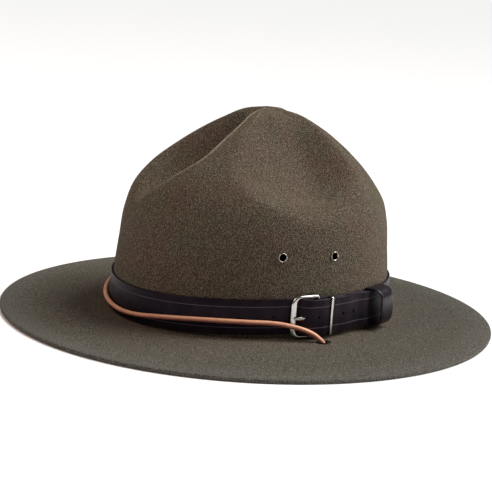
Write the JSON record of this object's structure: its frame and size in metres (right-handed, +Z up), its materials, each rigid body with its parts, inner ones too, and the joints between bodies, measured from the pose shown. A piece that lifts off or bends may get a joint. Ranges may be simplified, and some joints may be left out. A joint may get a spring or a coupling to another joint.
{
  "type": "campaign hat",
  "caption": "Stiff felt hat with a high pinched crown and a flat brim, a buckled leather hat strap and a leather chin lace threaded through the brim.",
  "frame": {"origin": "middle of the brim, on the plane that the brim edge rests on", "axes": "+Z up through the crown, -Y to the hat's front, +X to the wearer's left"},
  "size_m": [0.322, 0.348, 0.1464],
  "materials": {
    "felt": "olive brown wool felt, matt and slightly napped",
    "strap_leather": "very dark brown strap leather, polished",
    "lace_leather": "orange tan leather lace, satin",
    "nickel_plate": "nickel plate, softly polished"
  },
  "bodies": {
    "root": {"felt_body": "felt", "hat_strap": "strap_leather", "buckle_frame": "nickel_plate", "buckle_prong": "nickel_plate", "wire_keeper": "nickel_plate", "leather_keeper": "strap_leather", "vent_eyelet_left_front": "nickel_plate", "vent_eyelet_left_rear": "nickel_plate", "vent_eyelet_right_front": "nickel_plate", "vent_eyelet_right_rear": "nickel_plate", "brim_eyelet_left": "nickel_plate", "brim_eyelet_right": "nickel_plate", "chin_lace": "lace_leather"}
  },
  "joints": []
}
